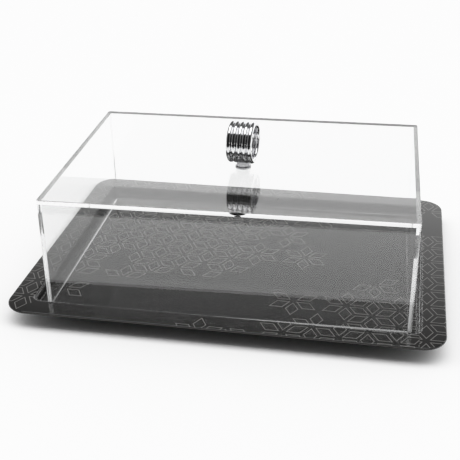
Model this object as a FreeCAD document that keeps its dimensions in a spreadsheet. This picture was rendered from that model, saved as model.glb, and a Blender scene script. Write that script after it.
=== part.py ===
import FreeCAD, Part
import math
import os
import Sketcher

# Serving tray with a sunken well and a lift-off clear cover with a ring handle.
# Millimetres, +Z up, the table at Z 0, the tray centred on the Z axis.

doc = FreeCAD.newDocument("display_tray")

# Driving dimensions: alias, value, meaning.
DIMENSIONS = [
    ("tray_length", 458.0, "tray, outside size along X"),
    ("tray_depth", 340.0, "tray, outside size along Y"),
    ("tray_corner", 26.0, "outside corner radius seen from above"),
    ("flange_width", 24.5, "flat rim, outside edge to the well"),
    ("shell_thick", 3.0, "wall of the moulded shell"),
    ("well_deep", 9.5, "rim top to floor top"),
    ("well_corner", 11.0, "corner radius of the well at the rim"),
    ("slope_run", 5.0, "how far the well's wall leans in"),
    ("slope_wall", 3.4, "the leaning wall's thickness measured level"),
    ("foot_lift", 7.5, "table to the underside of the floor"),
    ("foot_inset", 8.0, "foot ring in from the edge of the floor"),
    ("foot_width", 4.0, "width of the foot ring"),
    ("foot_corner", 12.0, "outside corner radius of the foot ring"),
    ("foot_round", 1.0, "rounding of the foot ring"),
    ("lip_round", 1.4, "rounding of the rim's outer lip"),
    ("well_round", 2.2, "rounding where the rim turns into the well"),
    ("floor_round", 2.5, "inside rounding at the floor"),
    ("under_round", 3.0, "rounding under the rim and under the floor"),
    ("cover_length", 385.0, "cover, outside size along its own X"),
    ("cover_depth", 268.0, "cover, outside size along its own Y"),
    ("cover_height", 123.5, "floor of the well to the cover's top"),
    ("sheet_thick", 4.5, "clear sheet of the five panels"),
    ("edge_round", 2.5, "rounding of the glued box's upright edges"),
    ("edge_ease", 0.4, "small rounding along the top panel's upper edge"),
    ("cover_turn", 1.15, "degrees the loose cover is turned in the well"),
    ("handle_forward", 19.8, "handle in front of the cover's middle"),
    ("handle_side", 3.5, "handle to the right of the cover's middle"),
    ("handle_turn", -5.65, "degrees the handle is turned on its screw"),
    ("ring_outer", 46.0, "outside diameter of a ring"),
    ("ring_wire", 5.65, "thickness of a ring, and the rings' spacing"),
    ("ring_lift", 6.3, "cover's top to the underside of the rings"),
    ("pedestal_base", 17.6, "diameter of the pedestal's foot lip"),
    ("pedestal_neck", 14.4, "diameter of the pedestal's neck"),
    ("pedestal_lip", 1.8, "height of the foot lip"),
    ("pedestal_cove", 0.9, "height of the slope from the foot lip to the neck"),
    ("pedestal_top", 7.4, "height of the pedestal before its saddle is cut"),
    ("pedestal_round", 0.6, "rounding of the foot lip"),
    ("screw_shank", 5.0, "M5 countersunk screw, nominal diameter"),
    ("screw_head", 9.2, "diameter of the screw's head"),
    ("screw_long", 8.0, "overall length of the screw"),
    ("socket_flats", 3.0, "hexagon socket across flats"),
    ("socket_deep", 1.6, "depth of the socket"),
    ("panel_hole", 5.5, "clearance hole in the top panel"),
    ("thread_deep", 3.8, "depth of the pedestal's threaded hole"),
]
sheet = doc.addObject("Spreadsheet::Sheet", "dim")
for row, (alias, value, meaning) in enumerate(DIMENSIONS, start=1):
    sheet.set("A%d" % row, alias)
    sheet.set("B%d" % row, str(value))
    sheet.set("C%d" % row, meaning)
    sheet.setAlias("B%d" % row, alias)
doc.recompute()

PARTS = []


# ---------------------------------------------------------------- helpers
def new_body(label, base=("0", "0", "0"), turn="0"):
    """A body whose Placement is bound to expressions: where it stands and its turn about Z."""
    body = doc.addObject("PartDesign::Body", label)
    body.Label = label
    upright = FreeCAD.Rotation(FreeCAD.Vector(0, 0, 1), 10)
    body.Placement = FreeCAD.Placement(FreeCAD.Vector(), upright)
    for axis, expression in zip("xyz", base):
        body.setExpression("Placement.Base." + axis, expression)
    body.setExpression("Placement.Rotation.Angle", turn)
    PARTS.append(body)
    return body


def new_sketch(body, name, role, offset="0", shift="0"):
    """A sketch on one of the body's origin planes, moved along its normal and along its own X."""
    sketch = body.newObject("Sketcher::SketchObject", name)
    support = [item for item in body.Origin.OriginFeatures if item.Role == role]
    sketch.AttachmentSupport = [(support[0], "")]
    sketch.MapMode = "FlatFace"
    sketch.setExpression("AttachmentOffset.Base.z", offset)
    sketch.setExpression("AttachmentOffset.Base.x", shift)
    return sketch


def bind(sketch, constraint, name, expression):
    """Adds a named constraint and binds its value."""
    index = sketch.addConstraint(constraint)
    sketch.renameConstraint(index, name)
    sketch.setExpression("Constraints." + name, expression)


def draw_rounded(sketch, half_x, half_y, corner, start, prefix=""):
    """A centred rounded rectangle; start holds rough numbers for the solver."""
    x, y, r = start
    first = sketch.GeometryCount
    vector = FreeCAD.Vector
    lines = [
        ((r - x, -y), (x - r, -y)),
        ((x, r - y), (x, y - r)),
        ((x - r, y), (r - x, y)),
        ((-x, y - r), (-x, r - y)),
    ]
    centres = [(x - r, r - y, -90), (x - r, y - r, 0), (r - x, y - r, 90), (r - x, r - y, 180)]
    for (begin, end), (cx, cy, angle) in zip(lines, centres):
        sketch.addGeometry(Part.LineSegment(vector(*begin, 0), vector(*end, 0)))
        circle = Part.Circle(vector(cx, cy, 0), vector(0, 0, 1), r)
        sketch.addGeometry(Part.ArcOfCircle(circle, math.radians(angle), math.radians(angle + 90)))
    for side in range(4):
        line = first + 2 * side
        arc = line + 1
        following = first + (2 * side + 2) % 8
        sketch.addConstraint(Sketcher.Constraint("Tangent", line, 2, arc, 1))
        sketch.addConstraint(Sketcher.Constraint("Tangent", arc, 2, following, 1))
        if side:
            sketch.addConstraint(Sketcher.Constraint("Equal", first + 1, arc))
    for side, direction in enumerate(("Horizontal", "Vertical", "Horizontal", "Vertical")):
        sketch.addConstraint(Sketcher.Constraint(direction, first + 2 * side))
    bind(sketch, Sketcher.Constraint("DistanceX", -1, 1, first + 2, 1, x), prefix + "right", half_x)
    bind(sketch, Sketcher.Constraint("DistanceX", first + 6, 1, -1, 1, x), prefix + "left", half_x)
    bind(sketch, Sketcher.Constraint("DistanceY", -1, 1, first + 4, 1, y), prefix + "back", half_y)
    bind(sketch, Sketcher.Constraint("DistanceY", first, 1, -1, 1, y), prefix + "front", half_y)
    bind(sketch, Sketcher.Constraint("Radius", first + 1, r), prefix + "corner", corner)


def draw_outline(sketch, points):
    """A closed polygon; each point is (x expression, y expression, rough x, rough y)."""
    first = sketch.GeometryCount
    count = len(points)
    for index in range(count):
        begin = FreeCAD.Vector(*points[index][2:], 0)
        end = FreeCAD.Vector(*points[(index + 1) % count][2:], 0)
        sketch.addGeometry(Part.LineSegment(begin, end))
    for index in range(count):
        line = first + index
        following = first + (index + 1) % count
        sketch.addConstraint(Sketcher.Constraint("Coincident", line, 2, following, 1))
    for index, (x_text, y_text, x, y) in enumerate(points):
        line = first + index
        if x_text == "0":
            sketch.addConstraint(Sketcher.Constraint("PointOnObject", line, 1, -2))
        else:
            bind(sketch, Sketcher.Constraint("DistanceX", -1, 1, line, 1, x), "x%d" % index, x_text)
        if y_text == "0":
            sketch.addConstraint(Sketcher.Constraint("PointOnObject", line, 1, -1))
        else:
            bind(sketch, Sketcher.Constraint("DistanceY", -1, 1, line, 1, y), "y%d" % index, y_text)


def add_pad(body, name, sketch, length):
    pad = body.newObject("PartDesign::Pad", name)
    pad.Profile = sketch
    pad.setExpression("Length", length)
    return pad


def add_fillet(body, name, feature, radius, wanted):
    """Rounds the edges of a feature that pass the test."""
    doc.recompute()
    names = []
    for index, edge in enumerate(feature.Shape.Edges, start=1):
        if wanted(edge):
            names.append("Edge%d" % index)
    fillet = body.newObject("PartDesign::Fillet", name)
    fillet.Base = (feature, names)
    fillet.setExpression("Radius", radius)
    doc.recompute()
    return fillet


def level_edge(z, beyond=(0.0, 0.0), within=(1e9, 1e9)):
    """Test for edges at height z that reach past beyond in X or in Y and stay within both limits."""
    def test(edge):
        box = edge.BoundBox
        x = max(abs(box.XMin), abs(box.XMax))
        y = max(abs(box.YMin), abs(box.YMax))
        level = abs(box.ZMin - z) < 1e-3 and abs(box.ZMax - z) < 1e-3
        return level and (x > beyond[0] or y > beyond[1]) and x < within[0] and y < within[1]
    return test


# ---------------------------------------------------------------- tray
FLOOR_UNDER = "dim.foot_lift"
FLOOR_TOP = "dim.foot_lift + dim.shell_thick"
RIM_UNDER = "dim.foot_lift + dim.well_deep"
RIM_TOP = "dim.foot_lift + dim.shell_thick + dim.well_deep"
WELL_X = "dim.tray_length / 2 - dim.flange_width"
WELL_Y = "dim.tray_depth / 2 - dim.flange_width"
LEAN = "dim.slope_run * dim.shell_thick / dim.well_deep"

tray = new_body("tray")

rim_sketch = new_sketch(tray, "rim_outline", "XY_Plane", RIM_UNDER)
draw_rounded(rim_sketch, "dim.tray_length / 2", "dim.tray_depth / 2", "dim.tray_corner", (229, 170, 26))
rim = add_pad(tray, "rim", rim_sketch, "dim.shell_thick")

basin_top = new_sketch(tray, "basin_top", "XY_Plane", RIM_UNDER)
draw_rounded(
    basin_top,
    WELL_X + " - " + LEAN + " + dim.slope_wall",
    WELL_Y + " - " + LEAN + " + dim.slope_wall",
    "dim.well_corner - " + LEAN + " + dim.slope_wall",
    (206.3, 147.3, 12.8),
)
basin_low = new_sketch(tray, "basin_low", "XY_Plane", FLOOR_UNDER)
draw_rounded(
    basin_low,
    WELL_X + " - " + LEAN + " + dim.slope_wall - dim.slope_run",
    WELL_Y + " - " + LEAN + " + dim.slope_wall - dim.slope_run",
    "dim.well_corner - " + LEAN + " + dim.slope_wall - dim.slope_run",
    (201.3, 142.3, 7.8),
)
doc.recompute()
basin = tray.newObject("PartDesign::AdditiveLoft", "basin")
basin.Profile = basin_top
basin.Sections = [basin_low]
basin.Ruled = True
doc.recompute()

foot_sketch = new_sketch(tray, "foot_outline", "XY_Plane")
FOOT_X = WELL_X + " - dim.slope_run - dim.foot_inset"
FOOT_Y = WELL_Y + " - dim.slope_run - dim.foot_inset"
draw_rounded(foot_sketch, FOOT_X, FOOT_Y, "dim.foot_corner", (191.5, 132.5, 12), "outer_")
draw_rounded(
    foot_sketch,
    FOOT_X + " - dim.foot_width",
    FOOT_Y + " - dim.foot_width",
    "dim.foot_corner - dim.foot_width",
    (187.5, 128.5, 8),
    "inner_",
)
foot = add_pad(tray, "foot_ring", foot_sketch, FLOOR_TOP + " - dim.shell_thick / 2")
doc.recompute()

well_top = new_sketch(tray, "well_top", "XY_Plane", RIM_TOP)
draw_rounded(well_top, WELL_X, WELL_Y, "dim.well_corner", (204.5, 145.5, 11))
well_low = new_sketch(tray, "well_low", "XY_Plane", FLOOR_TOP)
draw_rounded(
    well_low,
    WELL_X + " - dim.slope_run",
    WELL_Y + " - dim.slope_run",
    "dim.well_corner - dim.slope_run",
    (199.5, 140.5, 6),
)
doc.recompute()
well = tray.newObject("PartDesign::SubtractiveLoft", "well")
well.Profile = well_top
well.Sections = [well_low]
well.Ruled = True
doc.recompute()

floor_under_z = sheet.foot_lift
floor_top_z = floor_under_z + sheet.shell_thick
rim_under_z = floor_under_z + sheet.well_deep
rim_top_z = floor_top_z + sheet.well_deep
edge_x = sheet.tray_length / 2
edge_y = sheet.tray_depth / 2
well_x = edge_x - sheet.flange_width
well_y = edge_y - sheet.flange_width
inside = (well_x + 3, well_y + 3)
floor_edge = (well_x - sheet.slope_run - 4, well_y - sheet.slope_run - 4)
outline = (edge_x - 1, edge_y - 1)
step = add_fillet(tray, "floor_fillet", well, "dim.floor_round", level_edge(floor_top_z))
step = add_fillet(tray, "well_fillet", step, "dim.well_round", level_edge(rim_top_z, within=inside))
step = add_fillet(tray, "under_rim_fillet", step, "dim.under_round", level_edge(rim_under_z, within=inside))
step = add_fillet(
    tray, "under_floor_fillet", step, "dim.under_round", level_edge(floor_under_z, floor_edge)
)
step = add_fillet(tray, "foot_fillet", step, "dim.foot_round", level_edge(0.0))
step = add_fillet(tray, "lip_top_fillet", step, "dim.lip_round", level_edge(rim_top_z, outline))
step = add_fillet(tray, "lip_under_fillet", step, "dim.lip_round", level_edge(rim_under_z, outline))

# ---------------------------------------------------------------- cover
COVER_BASE = ("0", "0", FLOOR_TOP)
HALF_X = "dim.cover_length / 2"
HALF_Y = "dim.cover_depth / 2"
WALL_TOP = "dim.cover_height - dim.sheet_thick"

top_panel = new_body("top_panel", COVER_BASE, "dim.cover_turn")
top_sketch = new_sketch(top_panel, "top_outline", "XY_Plane", WALL_TOP)
draw_rounded(top_sketch, HALF_X, HALF_Y, "dim.edge_round", (192.5, 134, 2.5))
top_pad = add_pad(top_panel, "top_sheet", top_sketch, "dim.sheet_thick")
doc.recompute()
hole_sketch = new_sketch(
    top_panel, "screw_hole_profile", "XZ_Plane", "dim.handle_forward", "dim.handle_side"
)
draw_outline(
    hole_sketch,
    [
        ("0", WALL_TOP, 0, 119),
        ("dim.screw_head / 2", WALL_TOP, 4.6, 119),
        ("dim.panel_hole / 2", WALL_TOP + " + (dim.screw_head - dim.panel_hole) / 2", 2.75, 120.85),
        ("dim.panel_hole / 2", "dim.cover_height", 2.75, 123.5),
        ("0", "dim.cover_height", 0, 123.5),
    ],
)
doc.recompute()
hole = top_panel.newObject("PartDesign::Groove", "screw_hole")
hole.Profile = hole_sketch
hole.ReferenceAxis = (hole_sketch, ["V_Axis"])
hole.Angle = 360
doc.recompute()
add_fillet(top_panel, "top_edge_fillet", hole, "dim.edge_ease", level_edge(sheet.cover_height, (100, 100)))


def add_wall(label, x_low, x_high, y_low, y_high, rough, outer_y):
    """An upright panel; outer_y is the side whose upright edges are rounded, or 0 for none."""
    body = new_body(label, COVER_BASE, "dim.cover_turn")
    sketch = new_sketch(body, label + "_outline", "XY_Plane")
    x0, x1, y0, y1 = rough
    draw_outline(
        sketch,
        [
            (x_low, y_low, x0, y0),
            (x_high, y_low, x1, y0),
            (x_high, y_high, x1, y1),
            (x_low, y_high, x0, y1),
        ],
    )
    pad = add_pad(body, label + "_sheet", sketch, WALL_TOP)
    doc.recompute()
    if outer_y:
        def is_corner(edge):
            box = edge.BoundBox
            upright = box.ZLength > 10 and box.XLength < 1e-3
            return upright and abs(box.YMin - outer_y * sheet.cover_depth / 2) < 1e-3
        add_fillet(body, label + "_edges", pad, "dim.edge_round", is_corner)


INNER_Y = HALF_Y + " - dim.sheet_thick"
add_wall(
    "front_panel",
    "-" + HALF_X,
    HALF_X,
    "-" + HALF_Y,
    "dim.sheet_thick - " + HALF_Y,
    (-192.5, 192.5, -134, -129.5),
    -1,
)
add_wall("back_panel", "-" + HALF_X, HALF_X, INNER_Y, HALF_Y, (-192.5, 192.5, 129.5, 134), 1)
add_wall(
    "left_panel",
    "-" + HALF_X,
    "dim.sheet_thick - " + HALF_X,
    "dim.sheet_thick - " + HALF_Y,
    INNER_Y,
    (-192.5, -188, -129.5, 129.5),
    0,
)
add_wall(
    "right_panel",
    HALF_X + " - dim.sheet_thick",
    HALF_X,
    "dim.sheet_thick - " + HALF_Y,
    INNER_Y,
    (188, 192.5, -129.5, 129.5),
    0,
)

# ---------------------------------------------------------------- handle
COS_TURN = "cos(dim.cover_turn * 1 deg)"
SIN_TURN = "sin(dim.cover_turn * 1 deg)"
HANDLE_X = "dim.handle_side * " + COS_TURN + " + dim.handle_forward * " + SIN_TURN
HANDLE_Y = "dim.handle_side * " + SIN_TURN + " - dim.handle_forward * " + COS_TURN
HANDLE_ANGLE = "dim.cover_turn + dim.handle_turn"
COVER_TOP = FLOOR_TOP + " + dim.cover_height"
RING_CENTRE = COVER_TOP + " + dim.ring_lift + dim.ring_outer / 2"

for number in range(1, 6):
    steps = number - 3
    ring = new_body(
        "handle_ring_%d" % number,
        (
            HANDLE_X + " + %d * dim.ring_wire * cos((%s) * 1 deg)" % (steps, HANDLE_ANGLE),
            HANDLE_Y + " + %d * dim.ring_wire * sin((%s) * 1 deg)" % (steps, HANDLE_ANGLE),
            RING_CENTRE,
        ),
        HANDLE_ANGLE,
    )
    wire = new_sketch(ring, "ring_section_%d" % number, "XZ_Plane")
    wire.addGeometry(Part.Circle(FreeCAD.Vector(0, 20, 0), FreeCAD.Vector(0, 0, 1), 2.8))
    wire.addConstraint(Sketcher.Constraint("PointOnObject", 0, 3, -2))
    bind(wire, Sketcher.Constraint("Radius", 0, 2.8), "wire", "dim.ring_wire / 2")
    reach = Sketcher.Constraint("DistanceY", -1, 1, 0, 3, 20)
    bind(wire, reach, "reach", "(dim.ring_outer - dim.ring_wire) / 2")
    doc.recompute()
    turn = ring.newObject("PartDesign::Revolution", "ring_%d" % number)
    turn.Profile = wire
    turn.ReferenceAxis = (wire, ["H_Axis"])
    turn.Angle = 360
doc.recompute()

pedestal = new_body("handle_pedestal", (HANDLE_X, HANDLE_Y, COVER_TOP), HANDLE_ANGLE)
profile = new_sketch(pedestal, "pedestal_profile", "XZ_Plane")
draw_outline(
    profile,
    [
        ("0", "0", 0, 0),
        ("dim.pedestal_base / 2", "0", 8.8, 0),
        ("dim.pedestal_base / 2", "dim.pedestal_lip", 8.8, 1.8),
        ("dim.pedestal_neck / 2", "dim.pedestal_lip + dim.pedestal_cove", 7.2, 2.7),
        ("dim.pedestal_neck / 2", "dim.pedestal_top", 7.2, 7.4),
        ("0", "dim.pedestal_top", 0, 7.4),
    ],
)
doc.recompute()
turned = pedestal.newObject("PartDesign::Revolution", "turned")
turned.Profile = profile
turned.ReferenceAxis = (profile, ["V_Axis"])
turned.Angle = 360
doc.recompute()
saddle_sketch = new_sketch(pedestal, "saddle_circle", "YZ_Plane")
saddle_sketch.addGeometry(Part.Circle(FreeCAD.Vector(0, 29.3, 0), FreeCAD.Vector(0, 0, 1), 23))
saddle_sketch.addConstraint(Sketcher.Constraint("PointOnObject", 0, 3, -2))
bind(saddle_sketch, Sketcher.Constraint("Radius", 0, 23), "seat", "dim.ring_outer / 2")
saddle_height = Sketcher.Constraint("DistanceY", -1, 1, 0, 3, 29.3)
bind(saddle_sketch, saddle_height, "centre", "dim.ring_lift + dim.ring_outer / 2")
doc.recompute()
saddle = pedestal.newObject("PartDesign::Pocket", "saddle")
saddle.Profile = saddle_sketch
saddle.Midplane = True
saddle.setExpression("Length", "2 * dim.pedestal_base")
thread_sketch = new_sketch(pedestal, "thread_circle", "XY_Plane")
thread_sketch.addGeometry(Part.Circle(FreeCAD.Vector(0, 0, 0), FreeCAD.Vector(0, 0, 1), 2.5))
thread_sketch.addConstraint(Sketcher.Constraint("Coincident", 0, 3, -1, 1))
bind(thread_sketch, Sketcher.Constraint("Radius", 0, 2.5), "thread", "dim.screw_shank / 2")
doc.recompute()
thread = pedestal.newObject("PartDesign::Pocket", "thread_hole")
thread.Profile = thread_sketch
thread.Reversed = True
thread.setExpression("Length", "dim.thread_deep")
doc.recompute()
lip_reach = sheet.pedestal_base / 2 - 0.1
add_fillet(
    pedestal,
    "lip_rounding",
    thread,
    "dim.pedestal_round",
    level_edge(sheet.pedestal_lip, (lip_reach, lip_reach)),
)

screw = new_body("handle_screw", (HANDLE_X, HANDLE_Y, FLOOR_TOP + " + " + WALL_TOP), HANDLE_ANGLE)
shank = new_sketch(screw, "screw_profile", "XZ_Plane")
draw_outline(
    shank,
    [
        ("0", "0", 0, 0),
        ("dim.screw_head / 2", "0", 4.6, 0),
        ("dim.screw_shank / 2", "(dim.screw_head - dim.screw_shank) / 2", 2.5, 2.1),
        ("dim.screw_shank / 2", "dim.screw_long", 2.5, 8),
        ("0", "dim.screw_long", 0, 8),
    ],
)
doc.recompute()
screw_solid = screw.newObject("PartDesign::Revolution", "screw_solid")
screw_solid.Profile = shank
screw_solid.ReferenceAxis = (shank, ["V_Axis"])
screw_solid.Angle = 360
doc.recompute()
socket_sketch = new_sketch(screw, "socket_hexagon", "XY_Plane")
FLAT = "dim.socket_flats / 2"
POINT = "dim.socket_flats / sqrt(3)"
draw_outline(
    socket_sketch,
    [
        (POINT, "0", 1.73, 0),
        (POINT + " / 2", FLAT, 0.87, 1.5),
        ("-" + POINT + " / 2", FLAT, -0.87, 1.5),
        ("-" + POINT, "0", -1.73, 0),
        ("-" + POINT + " / 2", "-" + FLAT, -0.87, -1.5),
        (POINT + " / 2", "-" + FLAT, 0.87, -1.5),
    ],
)
doc.recompute()
socket = screw.newObject("PartDesign::Pocket", "socket")
socket.Profile = socket_sketch
socket.Reversed = True
socket.setExpression("Length", "dim.socket_deep")
doc.recompute()

# ---------------------------------------------------------------- export
broken = []
for item in doc.Objects:
    if "Invalid" in item.State or "Error" in item.State:
        broken.append(item.Name)
for part in PARTS:
    if part.Shape.isNull() or not part.Shape.isValid() or len(part.Shape.Solids) != 1:
        broken.append(part.Label)
if broken:
    raise RuntimeError("features that failed: " + ", ".join(broken))

os.makedirs("parts", exist_ok=True)
for part in PARTS:
    part.Shape.exportStep("parts/" + part.Label + ".step")
    box = part.Shape.BoundBox
    print("%-18s volume %12.1f  x %8.2f %8.2f  y %8.2f %8.2f  z %7.2f %7.2f" % (
        part.Label, part.Shape.Volume, box.XMin, box.XMax, box.YMin, box.YMax, box.ZMin, box.ZMax))
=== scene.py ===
import math

import bpy
from mathutils import Matrix, Vector


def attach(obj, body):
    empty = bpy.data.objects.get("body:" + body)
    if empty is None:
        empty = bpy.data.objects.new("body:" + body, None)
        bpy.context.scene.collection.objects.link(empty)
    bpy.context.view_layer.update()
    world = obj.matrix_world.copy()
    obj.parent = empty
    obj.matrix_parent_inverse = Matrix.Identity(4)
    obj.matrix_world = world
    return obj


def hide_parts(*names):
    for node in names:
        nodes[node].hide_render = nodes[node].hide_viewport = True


# Covered serving tray: a dark glossy tray with a thin printed rhombus pattern, a clear five-panel
# cover and a bright ring handle. Metres, +Z up, in the CAD frame.

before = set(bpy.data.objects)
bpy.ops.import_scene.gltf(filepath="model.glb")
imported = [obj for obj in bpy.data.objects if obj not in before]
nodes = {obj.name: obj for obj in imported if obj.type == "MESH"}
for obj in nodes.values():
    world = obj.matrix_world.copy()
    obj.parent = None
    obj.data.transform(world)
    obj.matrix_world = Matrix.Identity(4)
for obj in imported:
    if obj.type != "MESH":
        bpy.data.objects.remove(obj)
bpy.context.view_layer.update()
scene = bpy.context.scene
MM = 0.001

# ---------------------------------------------------------------- sizes taken over from the CAD
TRAY_LENGTH = 458.0
TRAY_DEPTH = 340.0
FLANGE_WIDTH = 24.5
SLOPE_RUN = 5.0
FLOOR_TOP = 10.5
RIM_TOP = 20.0
COVER_DEPTH = 268.0
SHEET_THICK = 4.5
COVER_HEIGHT = 123.5
COVER_TURN = math.radians(1.15)


# ---------------------------------------------------------------- node helpers
class Value:
    """A number inside a node tree; arithmetic on it adds Math nodes."""

    def __init__(self, tree, source):
        self.tree = tree
        self.source = source

    def maths(self, operation, *others):
        node = self.tree.nodes.new("ShaderNodeMath")
        node.operation = operation
        for socket, item in zip(node.inputs, (self, *others)):
            if isinstance(item, Value):
                self.tree.links.new(item.source, socket)
            else:
                socket.default_value = item
        return Value(self.tree, node.outputs[0])

    def __add__(self, other):
        return self.maths("ADD", other)

    def __sub__(self, other):
        return self.maths("SUBTRACT", other)

    def __mul__(self, other):
        return self.maths("MULTIPLY", other)

    def __truediv__(self, other):
        return self.maths("DIVIDE", other)

    def plus_times(self, factor, base):
        return self.maths("MULTIPLY_ADD", factor, base)

    def absolute(self):
        return self.maths("ABSOLUTE")

    def below(self, other):
        return self.maths("LESS_THAN", other)

    def above(self, other):
        return self.maths("GREATER_THAN", other)

    def least(self, other):
        return self.maths("MINIMUM", other)

    def most(self, other):
        return self.maths("MAXIMUM", other)

    def wrapped(self, half):
        return self.maths("WRAP", half, -half)

    def squeezed(self):
        """Held between 0 and 1."""
        result = self.maths("ADD", 0.0)
        result.source.node.use_clamp = True
        return result


def new_material(name):
    material = bpy.data.materials.new(name)
    material.use_nodes = True
    tree = material.node_tree
    tree.nodes.clear()
    output = tree.nodes.new("ShaderNodeOutputMaterial")
    return material, tree, output


def add_node(tree, kind, **inputs):
    node = tree.nodes.new(kind)
    for name, value in inputs.items():
        node.inputs[name.replace("_", " ")].default_value = value
    return node


def noise(tree, coordinates, scale, detail=3.0):
    node = add_node(tree, "ShaderNodeTexNoise", Scale=scale, Detail=detail)
    tree.links.new(coordinates, node.inputs["Vector"])
    return node.outputs["Fac"]


def object_point(tree):
    """Object coordinates, and their X, Y and Z as Values, in millimetres."""
    place = tree.nodes.new("ShaderNodeTexCoord").outputs["Object"]
    split = tree.nodes.new("ShaderNodeSeparateXYZ")
    tree.links.new(place, split.inputs[0])
    return place, [Value(tree, split.outputs[axis]) * 1000.0 for axis in range(3)]


# ---------------------------------------------------------------- printed pattern
# A 60-degree star lattice of rhombi. A tile is named by its column and row; stars stand where the
# two are whole and their sum is even, upright tiles where the sum is odd, slanted tiles at halves.
STAR_PITCH = 32.53
COLUMN_STEP = STAR_PITCH * math.sqrt(3) / 2
ROW_STEP = STAR_PITCH / 2
PATTERN_TURN = math.radians(-0.74)
PATTERN_X, PATTERN_Y = 14.63, 12.4
TILE_INSET = 2.35
LINE_WIDTH = 0.8
LINE_SOFT = 0.3
RIM_INK = 0.72  # strength of the lines on the rim against those on the floor
TILE_ROOM = 0.2  # half the column and row box that picks out one tile
SURFACE_BAND = 0.3  # how near a height counts as on the rim or the floor

# The foil lies in other phases on the rim's sides, in millimetres along X and Y.
RIGHT_SHIFT = (-1.0, 12.4)
FRONT_SHIFT = (-1.2, 18.8)
LEFT_SHIFT_Y = 9.6
BACK_SHIFT_Y = 6.0

# Where the rim is printed, in columns and rows.
RIGHT_PLAIN_ROWS = (2.6, 6.0)
LEFT_FIRST_ROW = -11.2
FRONT_FIRST_COLUMN = 1.2
FRONT_PETAL_COLUMNS = (-2.0, 0.8)
FRONT_PETAL_LAST_ROW = -11.6
BACK_LAST_COLUMN = 2.0

# Printed tiles of the floor: lowest and highest column, lowest and highest row.
FLOOR_BLOCKS = [
    (-4.7, -1.3, -3.7, 5.7),
    (-5.2, -4.8, -4.2, 5.7),
    (-5.7, -5.3, -0.7, 5.7),
    (-7.2, -5.8, -1.2, 5.7),
    (-7.2, -6.3, -4.7, 5.7),
    (-6.7, -6.3, -7.7, -6.3),
    (-1.2, -0.8, -2.2, 5.7),
    (-0.7, 0.7, -0.7, 0.7),
    (-0.7, -0.3, 2.3, 5.7),
    (-0.2, 0.2, -1.2, 5.7),
    (0.3, 0.7, 3.3, 5.7),
    (0.8, 1.2, 1.8, 5.7),
    (1.3, 1.7, 2.3, 3.7),
    (1.3, 2.7, 5.3, 5.7),
    (1.3, 2.7, -0.7, 0.7),
    (1.8, 2.2, -1.2, 1.2),
    (1.3, 2.7, -6.7, -5.3),
    (1.8, 2.2, -7.2, -6.8),
    (2.3, 3.2, -8.7, -7.8),
    (3.3, 5.7, -6.7, -5.3),
    (3.8, 4.2, -7.2, -4.8),
    (4.8, 5.2, -4.2, -3.8),
    (4.3, 5.7, -3.7, -3.3),
    (5.3, 5.7, -3.7, -2.3),
    (4.3, 5.7, -8.7, -7.3),
    (5.8, 6.7, -9.2, -4.8),
]
FLOOR_EXTRAS = [(-4.5, -4.5), (-5.5, -4.5), (-0.5, -2.5), (4.0, -9.0)]
FLOOR_GAPS = [(-2.0, -3.0)]


def rhombus_tiles(x, y):
    """Distance measure inside the tile that holds a point, and the way from its centre."""
    c, s = math.cos(PATTERN_TURN), math.sin(PATTERN_TURN)
    px, py = x - PATTERN_X, y - PATTERN_Y
    lx = px * c + py * s
    ly = py * c - px * s
    best = None
    for degrees in (90, 30, -30):
        c, s = math.cos(math.radians(degrees)), math.sin(math.radians(degrees))
        u, v = lx * c + ly * s, ly * c - lx * s
        for du, dv in ((ROW_STEP, 0.0), (0.0, COLUMN_STEP)):
            near_u = (u - du).wrapped(ROW_STEP)
            near_v = (v - dv).wrapped(COLUMN_STEP)
            reach = near_u.absolute() * 0.5 + near_v.absolute() * (math.sqrt(3) / 2)
            off_x, off_y = near_u * c - near_v * s, near_u * s + near_v * c
            if best is None:
                best = (reach, off_x, off_y)
                continue
            closer = reach.below(best[0])
            best = (
                reach.least(best[0]),
                closer.plus_times(off_x - best[1], best[1]),
                closer.plus_times(off_y - best[2], best[2]),
            )
    return best[0], (lx - best[1]) / COLUMN_STEP, (ly - best[2]) / ROW_STEP


def between(value, low, high):
    return (value - (low + high) / 2).absolute().below((high - low) / 2)


def any_of(items):
    result = items[0]
    for item in items[1:]:
        result = result.most(item)
    return result


def block(column, row, limits):
    return between(column, *limits[:2]) * between(row, *limits[2:])


def one_tile(column, row, place):
    x, y = place
    return block(column, row, (x - TILE_ROOM, x + TILE_ROOM, y - TILE_ROOM, y + TILE_ROOM))


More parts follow.
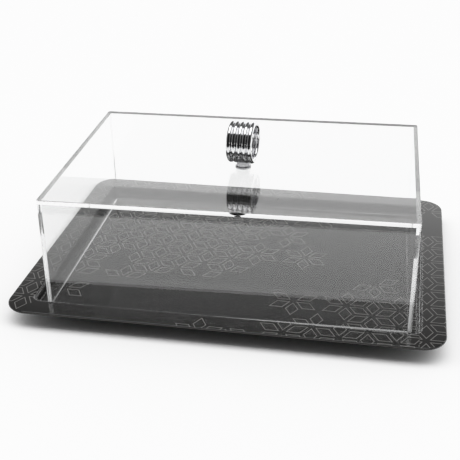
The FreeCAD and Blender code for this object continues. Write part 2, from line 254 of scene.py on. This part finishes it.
def printed_lines(x, y, z):
    """1 on the printed lines, 0 elsewhere."""
    inner_x = TRAY_LENGTH / 2 - FLANGE_WIDTH - SLOPE_RUN / 2
    on_rim = z.above(RIM_TOP - SURFACE_BAND)
    on_floor = between(z, FLOOR_TOP - SURFACE_BAND, FLOOR_TOP + SURFACE_BAND)
    on_right = on_rim * x.above(inner_x)
    on_left = on_rim * x.below(-inner_x)
    on_ends = on_rim * x.absolute().below(inner_x)
    on_front = on_ends * y.below(0.0)
    on_back = on_ends * y.above(0.0)
    shift_x = on_right * RIGHT_SHIFT[0] + on_front * FRONT_SHIFT[0]
    shift_y = on_right * RIGHT_SHIFT[1] + on_left * LEFT_SHIFT_Y
    shift_y = shift_y + on_front * FRONT_SHIFT[1] + on_back * BACK_SHIFT_Y
    reach, column, row = rhombus_tiles(x - shift_x, y - shift_y)
    blocks = [block(column, row, limits) for limits in FLOOR_BLOCKS]
    extras = [one_tile(column, row, place) for place in FLOOR_EXTRAS]
    gaps = any_of([one_tile(column, row, place) for place in FLOOR_GAPS])
    floor = on_floor * any_of(blocks + extras) * (gaps * -1.0 + 1.0)
    right = on_right * any_of([row.below(RIGHT_PLAIN_ROWS[0]), row.above(RIGHT_PLAIN_ROWS[1])])
    left = on_left * row.above(LEFT_FIRST_ROW)
    petals = between(column, *FRONT_PETAL_COLUMNS) * row.below(FRONT_PETAL_LAST_ROW)
    front = on_front * any_of([column.above(FRONT_FIRST_COLUMN), petals])
    back = on_back * column.below(BACK_LAST_COLUMN)
    printed = any_of([floor, right, left, front, back])
    outline = (reach - (STAR_PITCH / 4 - TILE_INSET)).absolute()
    line = ((outline * -1.0 + LINE_WIDTH / 2) / LINE_SOFT + 0.5).squeezed()
    return line * printed * (on_floor * (1.0 - RIM_INK) + RIM_INK)


# ---------------------------------------------------------------- materials
MELAMINE_SHADES = ((0.0120, 0.0118, 0.0115, 1), (0.0150, 0.0147, 0.0142, 1))
INK = (0.165, 0.163, 0.157, 1)
CLEAR_TINT = (0.976, 0.979, 0.979, 1)
SHADOW_TINT = (0.95, 0.95, 0.95, 1)
ROUGH_SPREAD = 0.03


def melamine():
    material, tree, output = new_material("melamine_printed")
    place, (x, y, z) = object_point(tree)
    lines = printed_lines(x, y, z)
    grain = noise(tree, place, 60.0)
    dark = tree.nodes.new("ShaderNodeMix")
    dark.data_type = "RGBA"
    dark.inputs["A"].default_value, dark.inputs["B"].default_value = MELAMINE_SHADES
    tree.links.new(grain, dark.inputs["Factor"])
    ink = tree.nodes.new("ShaderNodeMix")
    ink.data_type = "RGBA"
    ink.inputs["B"].default_value = INK
    tree.links.new(dark.outputs["Result"], ink.inputs["A"])
    tree.links.new(lines.source, ink.inputs["Factor"])
    surface = add_node(tree, "ShaderNodeBsdfPrincipled", Roughness=0.045, IOR=1.5)
    tree.links.new(ink.outputs["Result"], surface.inputs["Base Color"])
    tree.links.new(surface.outputs[0], output.inputs["Surface"])
    return material


def clear_acrylic():
    material, tree, output = new_material("clear_acrylic")
    glass = add_node(
        tree,
        "ShaderNodeBsdfPrincipled",
        Roughness=0.0,
        IOR=1.49,
        Transmission_Weight=1.0,
        Base_Color=CLEAR_TINT,
    )
    through = add_node(tree, "ShaderNodeBsdfTransparent", Color=SHADOW_TINT)
    path = tree.nodes.new("ShaderNodeLightPath")
    mix = tree.nodes.new("ShaderNodeMixShader")
    tree.links.new(path.outputs["Is Shadow Ray"], mix.inputs[0])
    tree.links.new(glass.outputs[0], mix.inputs[1])
    tree.links.new(through.outputs[0], mix.inputs[2])
    tree.links.new(mix.outputs[0], output.inputs["Surface"])
    return material


def metal(name, colour, roughness):
    material, tree, output = new_material(name)
    place, _ = object_point(tree)
    grain = Value(tree, noise(tree, place, 300.0))
    surface = add_node(tree, "ShaderNodeBsdfPrincipled", Base_Color=colour, Metallic=1.0)
    rough = grain * ROUGH_SPREAD + (roughness - ROUGH_SPREAD / 2)
    tree.links.new(rough.source, surface.inputs["Roughness"])
    tree.links.new(surface.outputs[0], output.inputs["Surface"])
    return material


def paint(name, material):
    piece = nodes[name]
    piece.data.materials.clear()
    piece.data.materials.append(material)


# ---------------------------------------------------------------- clear walls
FILM = 0.03 * MM  # cement between two sheets
STAND = 0.05 * MM  # air between the cover and the tray


def wall_piece(side, has_butt_ends):
    """A wall of the cover, set off by a cement film from its neighbours and by air from the tray."""
    mesh = nodes[side + "_panel"].data.copy()
    mesh.name = side + "_wall"
    turn = Matrix.Rotation(COVER_TURN, 3, "Z")
    top = (FLOOR_TOP + COVER_HEIGHT - SHEET_THICK) * MM
    butt = (COVER_DEPTH / 2 - SHEET_THICK) * MM
    for vertex in mesh.vertices:
        place = turn.transposed() @ vertex.co
        if place.z > top - FILM:
            place.z = top - FILM
        if place.z < FLOOR_TOP * MM + STAND:
            place.z = FLOOR_TOP * MM + STAND
        if has_butt_ends:
            place.y = max(-butt + FILM, min(butt - FILM, place.y))
        vertex.co = turn @ place
    piece = bpy.data.objects.new(side + "_wall", mesh)
    scene.collection.objects.link(piece)
    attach(piece, "cover")
    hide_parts(side + "_panel")
    mesh.materials.clear()
    mesh.materials.append(acrylic)


tray_material = melamine()
acrylic = clear_acrylic()
chrome = metal("polished_metal", (0.86, 0.86, 0.87, 1), 0.05)
dark_chrome = metal("pedestal_metal", (0.45, 0.45, 0.46, 1), 0.12)
steel = metal("screw_steel", (0.55, 0.55, 0.56, 1), 0.28)
paint("tray", tray_material)
paint("top_panel", acrylic)
for side in ("front", "back", "left", "right"):
    wall_piece(side, side in ("left", "right"))
for number in range(1, 6):
    paint("handle_ring_%d" % number, chrome)
paint("handle_pedestal", dark_chrome)
paint("handle_screw", steel)


# ---------------------------------------------------------------- table, light, camera
TABLE_HALF = 6.0
PAINTED_TABLE_GLOW = 1.37  # radiance of the painted glow that shows the open table to mirrors
PAINTED_SHADOW_REACH = 22.0  # millimetres outside the tray over which the painted shadow fades out of the table's glow
SHEET_PASSES = 2.0  # a ray's passes through the faces of one clear sheet


def table_top():
    half = TABLE_HALF
    mesh = bpy.data.meshes.new("table")
    corners = [(-half, -half, 0), (half, -half, 0), (half, half, 0), (-half, half, 0)]
    mesh.from_pydata(corners, [], [(0, 1, 2, 3)])
    piece = bpy.data.objects.new("table", mesh)
    scene.collection.objects.link(piece)
    material, tree, output = new_material("table_white")
    surface = add_node(
        tree, "ShaderNodeBsdfPrincipled", Base_Color=(0.92, 0.92, 0.92, 1), Roughness=0.7
    )
    surface.inputs["Specular IOR Level"].default_value = 0.2
    # Painted glow and painted shadow: in the cover's walls and through one clear sheet the table is an
    # even white glow free of grain, faded to black under and round the tray as a painted shadow.
    _, (x, y, _) = object_point(tree)
    # Painted shadow: the glow is nil under the tray and rises to full within 22 mm outside it.
    outside = (x.absolute() - TRAY_LENGTH / 2).most(y.absolute() - TRAY_DEPTH / 2)
    strength = (outside / PAINTED_SHADOW_REACH).squeezed() * PAINTED_TABLE_GLOW
    # Painted glow: mirrors and one clear sheet see this emission in place of the lit white table.
    painted_glow = tree.nodes.new("ShaderNodeEmission")
    tree.links.new(strength.source, painted_glow.inputs["Strength"])
    path = tree.nodes.new("ShaderNodeLightPath").outputs
    one_sheet = Value(tree, path["Transmission Depth"]).below(SHEET_PASSES + 0.5)
    bent = Value(tree, path["Is Transmission Ray"]) * one_sheet
    mirrored = bent.most(Value(tree, path["Is Glossy Ray"]))
    mix = tree.nodes.new("ShaderNodeMixShader")
    tree.links.new(mirrored.source, mix.inputs[0])
    tree.links.new(surface.outputs[0], mix.inputs[1])
    tree.links.new(painted_glow.outputs[0], mix.inputs[2])
    tree.links.new(mix.outputs[0], output.inputs["Surface"])
    material.cycles.emission_sampling = "NONE"
    mesh.materials.append(material)


# Brightness of the studio: degrees up from the front horizon, over the top and down to the back
# horizon. A dark room, a softbox overhead, a dimmer gap and a backdrop.
SKY = [
    (0, 0.10),
    (30, 0.10),
    (42, 0.14),
    (64, 0.24),
    (74, 0.90),
    (79, 3.60),
    (108, 3.60),
    (115, 1.20),
    (126, 0.85),
    (147, 0.70),
    (155, 1.40),
    (180, 1.46),
]
SKY_TOP = 4.0
SEEN_WHITE = 1.35

# What mirrors see instead: a softbox that is narrow from side to side, in the dark.
MIRRORED = [
    (0, 0.05),
    (60, 0.06),
    (66, 2.60),
    (103, 2.60),
    (110, 0.10),
    (146, 0.08),
    (155, 1.40),
    (180, 1.46),
]
MIRRORED_BACKDROP = 146
SOFTBOX_HALF = 0.55
SIDE_LEVEL = 0.14


def sky_ramp(tree, turn, steps):
    ramp = tree.nodes.new("ShaderNodeValToRGB")
    tree.links.new(turn.source, ramp.inputs[0])
    stops = ramp.color_ramp.elements
    while len(stops) < len(steps):
        stops.new(0.5)
    for stop, (degrees, level) in zip(stops, steps):
        stop.position = degrees / 180
        stop.color = (level / SKY_TOP, level / SKY_TOP, level / SKY_TOP, 1)
    return Value(tree, ramp.outputs[0]) * SKY_TOP


def world_light():
    world = bpy.data.worlds.new("studio")
    scene.world = world
    world.use_nodes = True
    tree = world.node_tree
    direction = tree.nodes.new("ShaderNodeTexCoord").outputs["Generated"]
    split = tree.nodes.new("ShaderNodeSeparateXYZ")
    tree.links.new(direction, split.inputs[0])
    along = Value(tree, split.outputs[1]) * -1.0
    turn = Value(tree, split.outputs[2]).maths("ARCTAN2", along) / math.pi
    path = tree.nodes.new("ShaderNodeLightPath").outputs
    level = sky_ramp(tree, turn, SKY)
    up = Value(tree, split.outputs[2])
    aside = Value(tree, split.outputs[0]).absolute()
    overhead = between(turn, 0.0, MIRRORED_BACKDROP / 180)
    beside = overhead * (aside - up * SOFTBOX_HALF).above(0.0)
    mirrored = sky_ramp(tree, turn, MIRRORED)
    mirrored = beside.plus_times(mirrored * -1.0 + SIDE_LEVEL, mirrored)
    glossy = Value(tree, path["Is Glossy Ray"])
    level = glossy.plus_times(mirrored - level, level)
    seen = Value(tree, path["Is Camera Ray"])
    level = seen.plus_times(level * -1.0 + SEEN_WHITE, level)
    background = tree.nodes["Background"]
    background.inputs["Color"].default_value = (1, 1, 1, 1)
    tree.links.new(level.source, background.inputs["Strength"])


# The dark cards: half their width, the room's wall, its top, the floor's near edge and its height.
SIDE = 2.5
ROOM = -2.2
HIGH = 3.4
NEAR = -0.37
LOW = 0.5 * MM


def dark_card(name, corners):
    """A dark part of the studio behind the camera.

    It is seen mirrored in a clear sheet, but not by looking through two of them.
    """
    mesh = bpy.data.meshes.new(name)
    mesh.from_pydata(corners, [], [(0, 1, 2, 3)])
    piece = bpy.data.objects.new(name, mesh)
    scene.collection.objects.link(piece)
    material, tree, output = new_material(name)
    surface = add_node(tree, "ShaderNodeBsdfDiffuse", Color=(0.01, 0.01, 0.01, 1))
    nothing = add_node(tree, "ShaderNodeBsdfTransparent")
    path = tree.nodes.new("ShaderNodeLightPath").outputs
    through_box = Value(tree, path["Transmission Depth"]).above(SHEET_PASSES + 0.5)
    mix = tree.nodes.new("ShaderNodeMixShader")
    tree.links.new(through_box.source, mix.inputs[0])
    tree.links.new(surface.outputs[0], mix.inputs[1])
    tree.links.new(nothing.outputs[0], mix.inputs[2])
    tree.links.new(mix.outputs[0], output.inputs["Surface"])
    mesh.materials.append(material)
    piece.visible_camera = False
    piece.visible_diffuse = False
    piece.visible_shadow = False


CAMERA_PLACE = (0.1631, -0.931, 0.5307)
CAMERA_YAW, CAMERA_PITCH, CAMERA_ROLL = -10.87, 27.14, -0.81
CAMERA_LENS = 72.08


def photo_camera():
    yaw, pitch, roll = (math.radians(item) for item in (CAMERA_YAW, CAMERA_PITCH, CAMERA_ROLL))
    forward = Vector(
        (math.sin(yaw) * math.cos(pitch), math.cos(yaw) * math.cos(pitch), -math.sin(pitch))
    )
    level = Vector((math.cos(yaw), -math.sin(yaw), 0))
    upward = level.cross(forward)
    right = math.cos(roll) * level + math.sin(roll) * upward
    up = -math.sin(roll) * level + math.cos(roll) * upward
    data = bpy.data.cameras.new("camera")
    data.sensor_width = 36.0
    data.lens = CAMERA_LENS
    camera = bpy.data.objects.new("camera", data)
    scene.collection.objects.link(camera)
    turn = Matrix((right, up, -forward)).transposed().to_4x4()
    camera.matrix_world = Matrix.Translation(CAMERA_PLACE) @ turn
    scene.camera = camera


table_top()
world_light()
dark_card("dark_room", [(-SIDE, ROOM, 0.0), (SIDE, ROOM, 0.0), (SIDE, ROOM, HIGH), (-SIDE, ROOM, HIGH)])
dark_card("dark_floor", [(-SIDE, ROOM, LOW), (SIDE, ROOM, LOW), (SIDE, NEAR, LOW), (-SIDE, NEAR, LOW)])
photo_camera()

# A soft shoulder, so that the white table doesn't burn out.
SHOULDER = [(0.55, 0.55), (0.82, 0.765), (1.09, 0.905), (1.37, 0.976), (1.8, 0.998)]
BOUNCES = 96

scene.view_settings.view_transform = "Standard"
scene.view_settings.use_curve_mapping = True
tone = scene.view_settings.curve_mapping
tone.clip_max_x = 4.0
shoulder = tone.curves[3]
shoulder.points[1].location = (tone.clip_max_x, 1.0)
for light_in, light_out in SHOULDER:
    shoulder.points.new(light_in, light_out)
tone.update()
scene.cycles.caustics_reflective = False
scene.cycles.caustics_refractive = False
scene.cycles.max_bounces = BOUNCES
scene.cycles.transmission_bounces = BOUNCES
scene.cycles.glossy_bounces = BOUNCES
scene.cycles.transparent_max_bounces = 32
